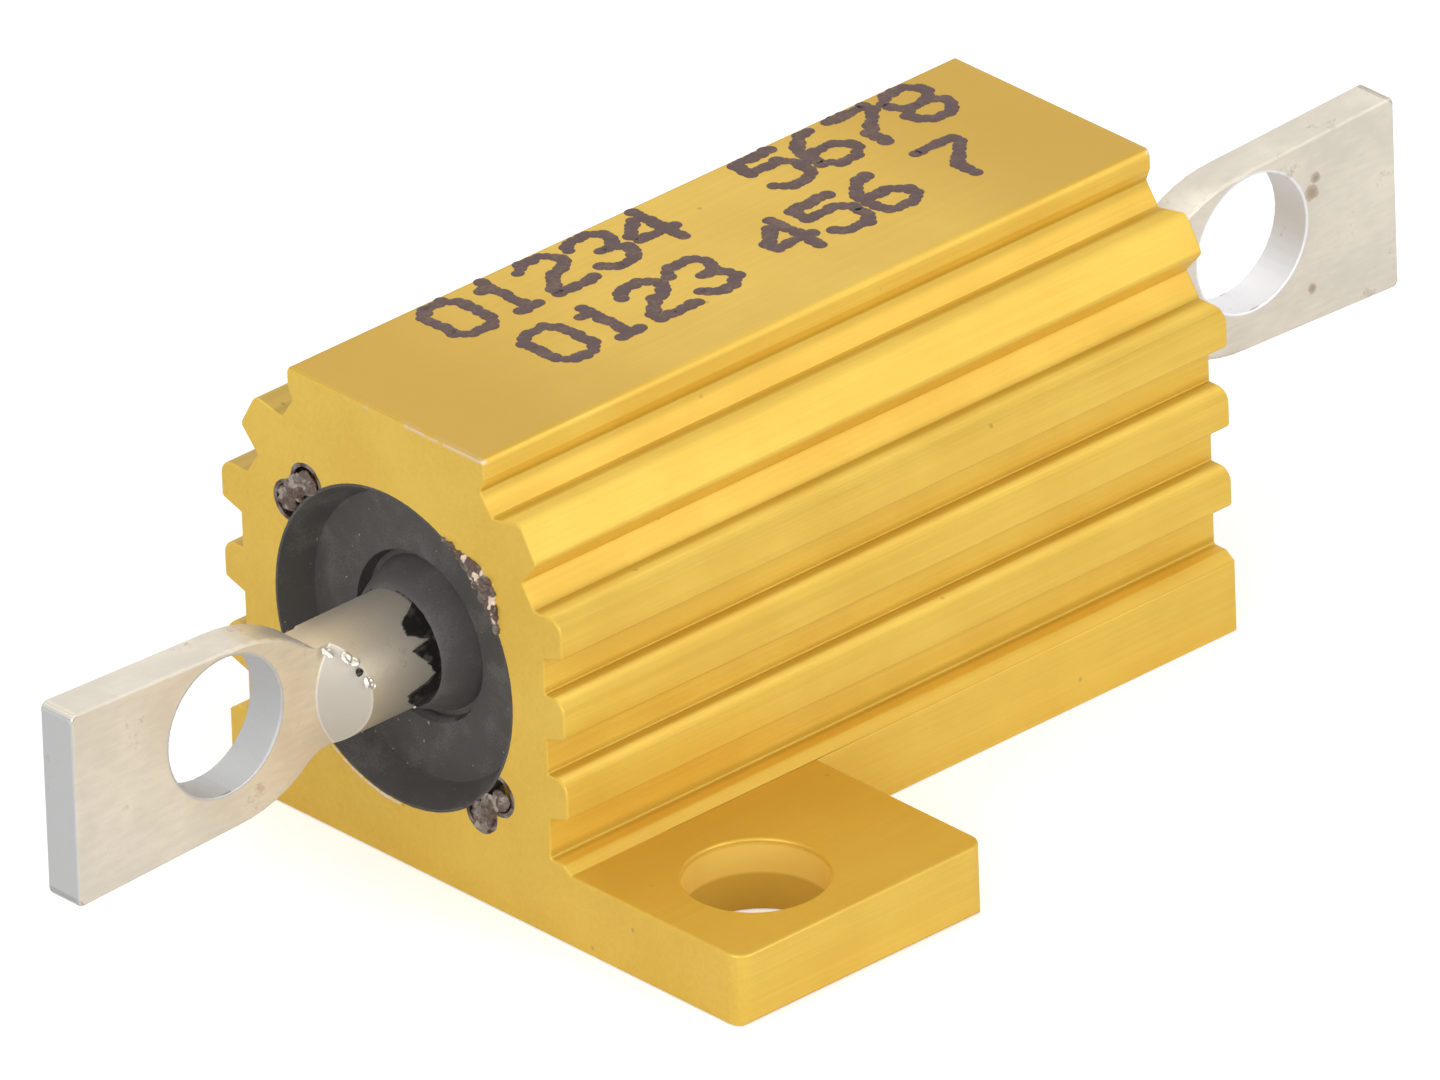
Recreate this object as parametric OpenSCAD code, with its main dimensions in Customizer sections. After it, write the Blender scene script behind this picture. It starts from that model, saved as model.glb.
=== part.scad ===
// Aluminium housed wirewound power resistor, chassis mounted by two diagonal feet.
// X runs along the terminals, Y across the feet, Z up from the mounting face.
// The origin lies on the mounting face, at the middle of the body.

/* [Housing] */
// Length of the extruded housing along the terminals
body_len = 15.1; // [14:0.1:17]
// Height of the housing above the mounting face
body_h = 8.45; // [8.3:0.05:8.9]
// Width across the outer edges of the two feet
feet_w = 16.5; // [15.8:0.1:18]
// Width left between the two machined sides
waist_w = 8.36; // [8.24:0.02:8.5]
// Width across the bottoms of the side grooves
web_w = 7.38; // [7.2:0.02:7.5]
// Width of the flat top
top_w = 4.8; // [4.4:0.1:5]
// Thickness of each foot
foot_t = 1.32; // [1.2:0.02:1.4]
// Length of each foot along the body
foot_len = 5.55; // [4.6:0.05:6.5]
// Radius of the outer corners of each foot
foot_corner_r = 0.3; // [0.1:0.05:0.6]
// Chamfer along the outer edges of the mounting face
base_chamfer = 0.08; // [0.04:0.02:0.2]
// Radius of the flat top's long edges
top_edge_r = 0.14; // [0.05:0.01:0.18]
// Radius in the section's small inner corners
root_r = 0.05; // [0.02:0.01:0.06]

/* [Mounting holes] */
// Diameter of the hole in each foot
hole_d = 2.5; // [2.2:0.05:2.7]
// Distance from the end of the body to the middle of the hole
hole_from_end = 2.15; // [1.95:0.05:2.4]
// Distance from the foot's outer edge to the middle of the hole
hole_from_side = 1.9; // [1.75:0.05:2.05]

/* [Cooling fins] */
// Height of the lowest groove's floor above the mounting face
ledge_z = 1.46; // [1.42:0.02:1.6]
// How far the ledge's outer edge slopes in from the machined side
ledge_inset = 0.2; // [0.1:0.02:0.3]
// Radius of the ledge's outer edge
ledge_r = 0.1; // [0.04:0.02:0.12]
// Height of the underside of the lowest fin at its root
fin_z = 2.2; // [2.1:0.05:2.3]
// Vertical distance from one fin to the next
fin_pitch = 1.5; // [1.45:0.01:1.52]
// Number of upright fins on each side
fin_count = 3; // [2:1:3]
// Thickness of an upright fin at its root
fin_root_t = 0.84; // [0.7:0.02:0.9]
// How far an upright fin stands out of the web
fin_depth = 0.46; // [0.3:0.02:0.48]
// Rise of a fin's underside from root to tip
fin_draft = 0.15; // [0:0.01:0.2]
// Radius of a fin's upper edge
fin_edge_r = 0.24; // [0.1:0.02:0.3]
// Radius of a fin's lower edge
fin_under_r = 0.08; // [0.04:0.01:0.12]
// Share of the top upright fin's root at which the slanted wall starts
slope_start = 0.68; // [0.6:0.02:0.8]
// Thickness of the slanted shoulder fin at its root
shoulder_fin_t = 1.15; // [0.9:0.05:1.2]
// How far the shoulder fin stands out of the slanted wall
shoulder_fin_depth = 0.63; // [0.4:0.01:0.65]
// Distance up the slanted wall to the shoulder fin, as a share of the wall
shoulder_fin_at = 0.57; // [0.5:0.01:0.62]
// How much the shoulder fin's lower flank narrows to the tip
shoulder_fin_low = 0.15; // [0.05:0.01:0.2]
// How much the shoulder fin's upper flank narrows to the tip
shoulder_fin_high = 0.26; // [0.1:0.01:0.3]
// How far the tip's lower edge stands back from its upper edge
shoulder_fin_skew = 0.05; // [0.01:0.01:0.1]
// Radius of the tip's lower edge
shoulder_low_r = 0.12; // [0.05:0.01:0.15]
// Radius of the tip's upper edge
shoulder_high_r = 0.18; // [0.05:0.01:0.2]
// Depth of the lip along each edge of the flat top
lip_t = 0.38; // [0.3:0.02:0.5]
// How far the groove under the lip cuts in
lip_undercut = 0.1; // [0.05:0.01:0.15]
// Height of the groove under the lip
lip_groove = 0.25; // [0.18:0.01:0.3]

/* [Bore and moulding] */
// Height of the bore's axis above the mounting face
axis_z = 4.03; // [3.95:0.01:4.1]
// Diameter of the bore
bore_d = 5.8; // [5.5:0.05:6]
// Depth of the dished end of the moulding
dish_depth = 0.58; // [0.3:0.02:0.8]
// Diameter of the dish's floor
dish_floor_d = 5.15; // [4.6:0.05:5.3]
// Diameter of the shallow recess round the lead
recess_d = 2.96; // [2.6:0.02:3.4]
// Depth of that recess below the dish's floor
recess_depth = 0.22; // [0.1:0.02:0.4]
// Height of the collar of compound that creeps up the lead
collar_h = 0.3; // [0.1:0.02:0.5]
// Width of that collar at its foot
collar_w = 0.2; // [0.1:0.02:0.4]
// Draft of that recess's wall
recess_draft = 0.06; // [0:0.01:0.1]
// Width of the moulding's flat rim at the bore
rim_w = 0.05; // [0.02:0.01:0.08]
// Width of the thin top of the collar round the lead
collar_top_w = 0.04; // [0.02:0.01:0.08]
// Diameter of each punch mark that stakes the bore's rim
punch_d = 0.62; // [0.4:0.02:0.7]
// Depth of each punch mark
punch_depth = 0.35; // [0.2:0.05:0.6]
// Diameter at the bottom of each punch mark, as a share of its diameter
punch_taper = 0.7; // [0.5:0.05:0.9]
// How far each punch mark's middle lies outside the bore's rim
punch_offset = 0.18; // [0.05:0.01:0.25]
// Angle of the staked place on the bore's rim, from the horizontal
stake_angle = 43; // [35:1:50]
// Angle between the two punch marks of a stake
stake_spread = 12; // [8:1:16]

/* [Wound element] */
// Diameter of the ceramic core
core_d = 3.5; // [3:0.1:3.8]
// Length of the ceramic core
core_len = 9.6; // [9:0.1:10.4]
// Wall of each pressed end cap
cap_wall = 0.25; // [0.2:0.01:0.35]
// Length of each end cap's skirt
cap_skirt = 1.6; // [1.2:0.1:2]
// Diameter of the resistance wire
wire_d = 0.22; // [0.16:0.01:0.24]
// Turns of wire between the end caps
turns = 12; // [8:1:14]
// Share of a turn that lies on each cap, where it is welded
weld_turn = 0.75; // [0.5:0.05:1]
// Length in which the wire climbs from the core to each cap
climb_len = 0.22; // [0.18:0.02:0.3]
// Gap between the wire and the mouth of each cap
climb_gap = 0.15; // [0.12:0.01:0.2]
// Gap between the wire and the moulding round it
wire_gap = 0.02; // [0.01:0.01:0.05]

/* [Terminals] */
// Length over both terminals
overall_len = 30; // [29:0.1:32]
// Diameter of the round lead
lead_d = 2.04; // [1.9:0.02:2.1]
// Thickness of the flattened tab
tab_t = 0.78; // [0.6:0.02:0.9]
// Height of the tab where its shoulder ends
tab_h = 3.34; // [3.1:0.02:3.5]
// Height of the tab at its outer end
tab_end_h = 3.62; // [3.5:0.02:3.8]
// Distance from the tab's outer end to the middle of the eyelet
eyelet_from_end = 3.35; // [3:0.05:4]
// Diameter of the eyelet
eyelet_d = 2.5; // [2.2:0.02:2.6]
// How far the eyelet sits above the tab's centre line
eyelet_rise = 0.3; // [0:0.01:0.32]
// Distance from the tab's outer end to the end of its shoulder
shoulder_from_end = 3.55; // [3.3:0.05:4]
// Radius of the tab's rounded shoulders
shoulder_r = 2.7; // [2.5:0.1:3.5]
// Distance from the tab's outer end to where the flat begins
flat_from_end = 5.34; // [5.2:0.02:5.5]
// Length of the slant that leads from the round lead to the flat
slant_len = 0.72; // [0.6:0.02:0.9]
// Radius of the slant's crown, seen along the slant
crown_r = 2; // [1.6:0.05:2.4]
// Radius of the tab's outer corners
tab_corner_r = 0.14; // [0.05:0.01:0.3]

/* [Hidden] */

$fn = 96;
over = 1;
arc_steps = 5;

gold = [0.86, 0.66, 0.28];
compound = [0.24, 0.23, 0.22];
ceramic = [0.93, 0.91, 0.86];
alloy = [0.72, 0.68, 0.62];
cap_steel = [0.7, 0.71, 0.72];
tinned = [0.8, 0.76, 0.68];

web_half = web_w / 2;
waist_half = waist_w / 2;
feet_half = feet_w / 2;
top_half = top_w / 2;
bore_r = bore_d / 2;
lead_r = lead_d / 2;
hole_x = body_len / 2 - hole_from_end;
hole_y = feet_half - hole_from_side;
// Each fin starts this far inside the wall that carries it.
fin_inset = 0.3;

// The slanted wall from the web up to the groove under the lip.
slope_foot = [web_half, fin_z + (fin_count - 1) * fin_pitch + fin_root_t * slope_start];
slope_head = [top_half - lip_undercut, body_h - lip_t - lip_groove];
slope_run = slope_head - slope_foot;
slope_dir = slope_run / norm(slope_run);
slope_out = [slope_dir[1], -slope_dir[0]];

cap_r = core_d / 2 + cap_wall;
cap_mouth = core_len / 2 - cap_skirt;
cap_face = core_len / 2 + cap_wall;
// The wire's path has straight steps, whose middles just touch the core and the caps.
coil_steps = 16;
step_rise = 1 / cos(180 / coil_steps);
coil_r = core_d / 2 * step_rise + wire_d / 2;
weld_r = cap_r * step_rise + wire_d / 2;
coil_half = cap_mouth - climb_len - climb_gap;
wire_pitch = 2 * coil_half / turns;
wire_reach = cap_mouth + weld_turn * wire_pitch;

tab_end = overall_len / 2;
shoulder_x = tab_end - shoulder_from_end;
flat_x = tab_end - flat_from_end;
// The tab starts inside the slanted end of the round lead.
merge_x = flat_x - slant_len / 2;

// Points of an outline whose corners [x, y, radius] are rounded by arcs.
function unit(v) = v / norm(v);
function corner(before, at, after) =
    let (p = [at[0], at[1]],
         u = unit([before[0], before[1]] - p),
         v = unit([after[0], after[1]] - p),
         half = acos(max(-1, min(1, u * v))) / 2,
         r = at[2])
    r == 0 || half > 89 ? [p] :
    let (mid = p + unit(u + v) * r / sin(half),
         a = p + u * r / tan(half) - mid,
         b = p + v * r / tan(half) - mid,
         sweep = 180 - 2 * half,
         turn = sign(a[0] * b[1] - a[1] * b[0]))
    [for (i = [0 : arc_steps])
        let (t = turn * sweep * i / arc_steps)
        mid + [a[0] * cos(t) - a[1] * sin(t), a[0] * sin(t) + a[1] * cos(t)]];
function rounded(c) =
    let (n = len(c))
    [for (i = [0 : n - 1]) each corner(c[(i + n - 1) % n], c[i], c[(i + 1) % n])];

// ---- Housing ----

// One upright fin, from the web outwards.
module fin() {
    polygon(rounded([
        [-fin_inset, 0, 0],
        [0, 0, root_r],
        [fin_depth, fin_draft, fin_under_r],
        [fin_depth, fin_root_t, fin_edge_r],
        [-fin_inset, fin_root_t, 0]]));
}

// The fin that stands square on the slanted wall; its flanks narrow to the tip.
module shoulder_fin() {
    half = shoulder_fin_t / 2;
    polygon(rounded([
        [-fin_inset, -half, 0],
        [0, -half, 0],
        [shoulder_fin_depth - shoulder_fin_skew, shoulder_fin_low - half, shoulder_low_r],
        [shoulder_fin_depth, half - shoulder_fin_high, shoulder_high_r],
        [0, half, 0],
        [-fin_inset, half, 0]]));
}

// Right half of the extrusion's section; the foot flange runs to its full width.
module half_section() {
    polygon(rounded([
        [0, 0, 0],
        [feet_half, 0, 0],
        [feet_half, foot_t, 0],
        [waist_half, foot_t, root_r],
        [waist_half - ledge_inset, ledge_z, ledge_r],
        [web_half, ledge_z, root_r],
        [slope_foot[0], slope_foot[1], 0],
        [slope_head[0], slope_head[1], root_r],
        [top_half, body_h - lip_t, root_r],
        [top_half, body_h, top_edge_r],
        [0, body_h, 0]]));
    for (i = [0 : fin_count - 1])
        translate([web_half, fin_z + i * fin_pitch]) fin();
    middle = slope_foot + slope_run * shoulder_fin_at;
    translate(middle) rotate(atan2(slope_out[1], slope_out[0])) shoulder_fin();
}

// Outline from above: two feet at diagonal corners, the rest milled to the waist.
module plan_outline() {
    x = body_len / 2;
    foot_x = x - foot_len;
    quarter = [
        [-x, waist_half, 0],
        [-x, -feet_half, foot_corner_r],
        [-foot_x, -feet_half, foot_corner_r],
        [-foot_x, -waist_half, 0]];
    opposite = [for (p = quarter) [-p[0], -p[1], p[2]]];
    polygon(rounded(concat(quarter, opposite)));
}

module extrusion() {
    rotate([90, 0, 90])
        linear_extrude(body_len, center = true) {
            half_section();
            mirror([1, 0]) half_section();
        }
}

// Chamfer cutter along a long lower edge of the extrusion.
module base_edge(half_width) {
    for (s = [-1, 1])
        translate([0, s * half_width, 0])
            rotate([45, 0, 0])
                cube([body_len + over, base_chamfer * sqrt(2), base_chamfer * sqrt(2)],
                     center = true);
}

// Twin punch marks on the bore's rim, at one end face.
module stake(angle, end) {
    rim_r = bore_r + punch_offset;
    flare = punch_d * (1 - punch_taper) / punch_depth;
    for (s = [-0.5, 0.5]) {
        a = angle + s * stake_spread;
        translate([end * (body_len / 2 - punch_depth), rim_r * cos(a), axis_z + rim_r * sin(a)])
            rotate([0, end * 90, 0])
                cylinder(h = punch_depth + over, d1 = punch_d * punch_taper,
                         d2 = punch_d + flare * over);
    }
}

module housing() {
    color(gold)
    difference() {
        intersection() {
            extrusion();
            translate([0, 0, -over]) linear_extrude(body_h + 2 * over) plan_outline();
        }
        translate([0, 0, axis_z]) rotate([0, 90, 0])
            cylinder(h = body_len + over, d = bore_d, center = true);
        for (s = [-1, 1])
            translate([s * hole_x, s * hole_y, -over])
                cylinder(h = foot_t + 2 * over, d = hole_d);
        base_edge(feet_half);
        for (end = [-1, 1], a = [stake_angle, stake_angle + 180])
            stake(a, end);
    }
}

// ---- Moulding ----

// Half section of the outer form, radius against distance along the axis.
module moulding_section() {
    x = body_len / 2;
    floor_x = x - dish_depth;
    recess_x = floor_x - recess_depth;
    foot_r = lead_r + collar_w;
    right = [
        [lead_r + collar_top_w, recess_x + collar_h, 0],
        [foot_r, recess_x, 0],
        [recess_d / 2, recess_x, 0],
        [recess_d / 2 + recess_draft, floor_x, 0],
        [dish_floor_d / 2, floor_x, 0],
        [bore_r - rim_w, x, 0],
        [bore_r, x, 0]];
    left = [for (i = [len(right) - 1 : -1 : 0]) [right[i][0], -right[i][1], 0]];
    polygon(rounded(concat([[0, right[0][1], 0]], right, left, [[0, -right[0][1], 0]])));
}

module moulding() {
    color(compound)
    translate([0, 0, axis_z])
    rotate([0, 90, 0])
    difference() {
        rotate_extrude() moulding_section();
        cylinder(h = body_len + over, d = lead_d, center = true);
        cylinder(h = 2 * cap_face, r = cap_r, center = true);
        cylinder(h = 2 * wire_reach + wire_d + 2 * wire_gap,
                 r = weld_r + wire_d / 2 + wire_gap, center = true);
    }
}

// ---- Wound element ----

module ceramic_core() {
    color(ceramic)
    translate([0, 0, axis_z]) rotate([0, 90, 0])
        cylinder(h = core_len, d = core_d, center = true);
}

// Path of the wire: a helix on the core whose last turn at each end climbs on the cap.
function coil_radius(x) =
    let (climb = (abs(x) - coil_half) / climb_len)
    coil_r + (weld_r - coil_r) * max(0, min(1, climb));
function coil_point(x) =
    let (a = 360 * x / wire_pitch, r = coil_radius(x))
    [x, r * sin(a), axis_z + r * cos(a)];

module resistance_wire() {
    sides = 6;
    rings = ceil(2 * wire_reach / wire_pitch * coil_steps);
    step = 2 * wire_reach / rings;
    points = [for (i = [0 : rings])
        let (x = -wire_reach + i * step,
             c = coil_point(x),
             t = unit(coil_point(x + step / 4) - coil_point(x - step / 4)),
             u = unit(cross(t, [c[0], 0, axis_z] - c)),
             v = cross(t, u))
        for (k = [0 : sides - 1])
            c + (u * cos(360 * k / sides) + v * sin(360 * k / sides)) * wire_d / 2];
    wall = [for (i = [0 : rings - 1], k = [0 : sides - 1])
        let (a = i * sides, n = (k + 1) % sides)
        each [[a + k, a + n, a + sides + n], [a + k, a + sides + n, a + sides + k]]];
    first = [[for (k = [sides - 1 : -1 : 0]) k]];
    last = [[for (k = [0 : sides - 1]) rings * sides + k]];
    color(alloy)
    polyhedron(points = points, faces = concat(wall, first, last), convexity = 10);
}

// Pressed cup that closes one end of the core.
module end_cap(end) {
    color(cap_steel)
    translate([end * cap_mouth, 0, axis_z]) rotate([0, end * 90, 0])
        difference() {
            cylinder(h = cap_skirt + cap_wall, r = cap_r);
            translate([0, 0, -over]) cylinder(h = cap_skirt + over, d = core_d);
        }
}

module end_cap_front() { end_cap(-1); }
module end_cap_rear() { end_cap(1); }

// ---- Terminals ----

// Side view of the flattened tab, outer end at +X, with rounded shoulders.
module tab_outline() {
    half = tab_h / 2;
    polygon(rounded([
        [shoulder_x, -half, 0],
        [tab_end, -tab_end_h / 2, tab_corner_r],
        [tab_end, tab_end_h / 2, tab_corner_r],
        [shoulder_x, half, 0]]));
    intersection() {
        translate([shoulder_x, half - shoulder_r]) circle(shoulder_r);
        translate([shoulder_x, shoulder_r - half]) circle(shoulder_r);
        translate([merge_x, -half]) square([shoulder_x - merge_x, tab_h]);
    }
}

// Cutter whose slanted, hollow face presses a crown on one side of the round lead.
module slant_cut() {
    start = flat_x - slant_len;
    fall = atan2(lead_r - tab_t / 2, slant_len);
    difference() {
        translate([start - over / 4, tab_t / 2, -lead_d])
            cube([slant_len + 1.25 * over, lead_d, 2 * lead_d]);
        translate([start, lead_r, 0])
            rotate([0, 0, -fall])
                translate([-lead_d, -crown_r, 0])
                    rotate([0, 90, 0])
                        cylinder(h = slant_len + 3 * lead_d, r = crown_r);
    }
}

module terminal(end) {
    color(tinned)
    translate([0, 0, axis_z])
    mirror([end < 0 ? 1 : 0, 0, 0])
    difference() {
        union() {
            difference() {
                translate([cap_face, 0, 0]) rotate([0, 90, 0])
                    cylinder(h = flat_x + slant_len / 2 - cap_face, d = lead_d);
                slant_cut();
                mirror([0, 1, 0]) slant_cut();
            }
            rotate([90, 0, 0]) linear_extrude(tab_t, center = true) tab_outline();
        }
        translate([tab_end - eyelet_from_end, 0, eyelet_rise]) rotate([90, 0, 0])
            cylinder(h = tab_t + over, d = eyelet_d, center = true);
    }
}

module terminal_front() { terminal(-1); }
module terminal_rear() { terminal(1); }

housing();
moulding();
ceramic_core();
resistance_wire();
end_cap_front();
end_cap_rear();
terminal_front();
terminal_rear();
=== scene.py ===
"""Looks of an aluminium housed power resistor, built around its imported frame."""

import math
import random

import bpy
from mathutils import Matrix, Vector


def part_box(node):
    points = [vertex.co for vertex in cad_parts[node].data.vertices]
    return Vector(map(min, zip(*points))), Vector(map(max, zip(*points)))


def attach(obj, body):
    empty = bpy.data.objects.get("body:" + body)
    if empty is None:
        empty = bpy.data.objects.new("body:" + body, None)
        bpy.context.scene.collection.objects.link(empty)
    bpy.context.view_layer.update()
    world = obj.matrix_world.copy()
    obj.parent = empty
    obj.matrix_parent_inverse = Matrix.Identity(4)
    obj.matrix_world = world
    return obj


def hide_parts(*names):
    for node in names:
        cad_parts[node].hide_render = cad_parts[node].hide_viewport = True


bl_info = {
    "name": "Aluminium housed resistor",
    "version": (1, 0, 0),
    "blender": (4, 5, 0),
    "location": "View3D > Sidebar > Resistor",
    "description": "Finned gold housing, moulding, printed digits and eyelet terminals",
    "category": "Add Mesh",
}

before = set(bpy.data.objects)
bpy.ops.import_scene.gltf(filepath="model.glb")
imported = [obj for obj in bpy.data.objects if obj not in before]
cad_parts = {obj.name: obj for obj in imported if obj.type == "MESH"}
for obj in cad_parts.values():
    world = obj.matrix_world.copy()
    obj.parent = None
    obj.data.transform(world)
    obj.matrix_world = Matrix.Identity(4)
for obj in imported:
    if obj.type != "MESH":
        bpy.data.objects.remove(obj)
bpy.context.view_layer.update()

MM = 0.001
BODY = "root"
ENDS = {"front": -1, "rear": 1}

# Digits of a dot matrix printer, seven rows of five dots from the top down.
DIGITS = {
    "0": "01110 10001 10001 10001 10001 10001 01110",
    "1": "00100 01100 00100 00100 00100 00100 01110",
    "2": "01110 10001 00001 00110 01000 10000 11111",
    "3": "01110 10001 00001 00110 00001 10001 01110",
    "4": "00010 00110 01010 10010 11111 00010 00010",
    "5": "11111 10000 11110 00001 00001 10001 01110",
    "6": "00110 01000 10000 11110 10001 10001 01110",
    "7": "11111 00001 00010 00100 01000 01000 01000",
    "8": "01110 10001 10001 01110 10001 10001 01110",
}

# Place and radius in millimetres of each brown bruise on the rear tab.
BRUISES = (
    (13.05, -0.4, 4.75, 0.15), (13.15, -0.4, 5.0, 0.1), (13.35, -0.4, 5.85, 0.1),
    (13.0, -0.4, 2.95, 0.09),
)

# Distance from the middle to the tips of the upright fins, in millimetres.
FIN_TIP = 4.15

# Upper face of each fin: its root's and its tip's distance from the middle, its height
# and the drop of its rounded corner, in millimetres, then how far from upright it faces
# at root and tip, in degrees, and how soon it turns.
FIN_TOPS = (
    (2.575, 3.32, 7.53, 0.12, -12, 59, 0.6),
    (3.508, FIN_TIP, 6.04, 0.25, 0, 90, 0.7),
    (3.69, FIN_TIP, 4.54, 0.25, 0, 90, 0.95),
    (3.69, FIN_TIP, 3.04, 0.25, 0, 90, 0.95),
)

# The painted shade line in the root of each groove: its distance from the middle and its
# height in millimetres.
SHADED_ROOT_LINES = ((2.31, 7.81), (2.7, 7.43), (3.56, 6.04), (3.76, 4.54), (3.76, 3.04),
         (3.69, 1.5))


# ---- Sizes read from the frame ----

BODY_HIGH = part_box("housing")[1]
TAB_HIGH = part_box("terminal_rear")[1]
MOULD_LOW, MOULD_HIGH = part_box("moulding")
AXIS_Z = ((MOULD_LOW + MOULD_HIGH) / 2).z
BORE_R = (MOULD_HIGH.z - MOULD_LOW.z) / 2
LEAD_R = TAB_HIGH.y
END_X = BODY_HIGH.x
TOP_Z = BODY_HIGH.z


# ---- Settings ----

def length(name, description, default, least=0.0):
    """A length, its default in millimetres."""
    return bpy.props.FloatProperty(
        name=name, description=description, default=default * MM, min=least,
        precision=5, subtype="DISTANCE", unit="LENGTH")


def share(name, description, default, top=1.0):
    return bpy.props.FloatProperty(
        name=name, description=description, default=default, min=0.0, max=top)


def turn(name, description, degrees):
    return bpy.props.FloatProperty(
        name=name, description=description, default=math.radians(degrees),
        subtype="ANGLE", unit="ROTATION")


def tint(name, place, default):
    return bpy.props.FloatVectorProperty(
        name=name, description="Colour of " + place, default=default, size=3, min=0.0,
        max=1.0, subtype="COLOR")


class HousingSettings(bpy.types.PropertyGroup):
    gold: tint("Gold", "the dyed anodised skin", (0.81, 0.545, 0.085))
    deep_gold: tint("Deep gold", "the skin with thicker dye", (0.74, 0.465, 0.06))
    # Colour of the painted shade lines in the grooves' roots.
    root: tint("Root gold", "the grooves' roots", (0.42, 0.265, 0.02))
    # Colour of the flat top towards its ends and of the feet's tops, darker and more orange than the
    # rest.
    dull: tint("Dull gold", "the duller skin", (0.60, 0.36, 0.035))
    # Painted light in the feet's holes: painted shade deep in a hole, then a painted highlight in its
    # mouth.
    painted_hole_shade: tint("Bored gold", "the skin deep in a hole", (0.70, 0.45, 0.06))
    mouth: tint("Mouth gold", "the skin in a hole's mouth", (0.93, 0.66, 0.14))
    bare: tint("Bare metal", "metal where the skin is gone", (0.80, 0.64, 0.50))
    torn: tint("Torn metal", "the metal torn at the rim", (0.36, 0.31, 0.27))
    punched: tint("Punched metal", "the skin bruised by a punch", (0.36, 0.31, 0.3))
    scorched: tint("Dark edge", "soiled, broken metal", (0.09, 0.055, 0.045))
    soiled: tint("Soiled", "the soil on torn metal", (0.15, 0.105, 0.08))
    shaded: tint("Shaded metal", "the torn metal's hollows", (0.19, 0.16, 0.14))
    roughness: share("Roughness", "Roughness of the anodised skin", 0.46)
    metallic: share("Metallic", "How metallic the anodised skin looks", 0.35)
    edge_break: length("Edge break", "Width of the broken edges", 0.035)
    stake_angle: turn("Stake angle", "Angle of the staked place on the rim", 43)
    stake_spread: turn("Stake spread", "Angle between two punch marks", 12)
    punch_offset: length("Punch offset", "From the rim out to the marks", 0.18)
    punch_d: length("Punch diameter", "Diameter of a punch mark", 0.62)
    scrape_r: length("Scrape radius", "Radius of the scraped line", 0.032)
    scrape_at: turn("Scrape place", "Angle of the scraped line's middle", -72)
    scrape_spread: turn("Scrape spread", "Angle over which the rim is scraped", 40)
    hole_x: length("Hole place", "From the body's end to a foot's hole", 2.15)
    hole_y: length("Hole inset", "From a foot's side to its hole", 1.9)
    hole_r: length("Hole radius", "Radius of a foot's hole", 1.25)
    foot_t: length("Foot thickness", "Thickness of a foot", 1.32)


class MouldingSettings(bpy.types.PropertyGroup):
    compound: tint("Compound", "the moulding compound", (0.062, 0.055, 0.05))
    lighter_neck: tint("Smeared", "the compound's neck", (0.085, 0.078, 0.074))
    # Colour of the neck round each lead, lighter than the rest of the compound.
    dust: tint("Dust", "the dust on the compound", (0.16, 0.15, 0.14))
    speck: tint("Speck", "the pale specks", (0.45, 0.43, 0.4))
    roughness: share("Roughness", "Roughness of the compound", 0.62)


class MarkingSettings(bpy.types.PropertyGroup):
    ink: tint("Ink", "the printed digits", (0.10, 0.055, 0.048))
    ink_thin: tint("Thin ink", "thin ink", (0.20, 0.12, 0.075))
    dot_pitch: length("Dot pitch", "From one dot to the next", 0.2)
    dot_d: length("Dot diameter", "Diameter of one dot", 0.27)
    film: length("Film", "Thickness of the ink", 0.012)
    advance: length("Advance", "From one digit to the next", 1.08)
    jitter: share("Jitter", "Stray of a dot, as a share of its diameter", 0.1)


class TerminalSettings(bpy.types.PropertyGroup):
    tin: tint("Tin", "the tinned faces", (0.72, 0.66, 0.56))
    stain: tint("Stain", "the stains on the tin", (0.3, 0.2, 0.11))
    lead: tint("Lead", "the round leads", (0.635, 0.58, 0.485))
    # Real burrs of burnished tin, their near-white colour partly a painted glint.
    burnished_glint: tint("Burnished", "the burrs", (0.95, 0.94, 0.92))
    # Painted light: a near-white colour for the rear eyelet's wall, which the body shades.
    rear_wall_painted_light: tint("Rear cut", "the rear eyelet's wall", (0.92, 0.91, 0.92))
    cut: tint("Cut", "the cut ends", (0.56, 0.56, 0.56))
    roughness: share("Roughness", "Roughness of the tinned faces", 0.38)
    edge_r: length("Edge radius", "Radius of the tab's outer edges", 0.07)
    eyelet_edge: length("Eyelet edge", "Radius of the eyelet's edges", 0.03)
    tab_t: length("Tab thickness", "Thickness of the tab", 0.78)
    tab_len: length("Tab length", "Length of the tab's rounded edges", 5.38)
    slant_len: length("Slant length", "Length of the pressed slant", 0.72)
    crown_r: length("Crown radius", "Radius of the slant's crown", 2)
    pressed: tint("Pressed", "the pressed slants", (0.58, 0.53, 0.455))
    eyelet_x: length("Eyelet place", "From the tab's end to the eyelet", 3.35)
    eyelet_rise: length("Eyelet rise", "Height of the eyelet above the lead's axis", 0.3)
    eyelet_r: length("Eyelet radius", "Radius of the eyelet", 1.25)
    residue: tint("Residue", "the flux on the lead", (0.012, 0.011, 0.010))
    # Painted highlight: the paler colour on the flux's bumps.
    residue_lit: tint("Pale residue", "the flux's bumps", (0.07, 0.062, 0.052))
    residue_t: length("Residue thickness", "Thickness of the flux on the lead", 0.035)


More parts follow.
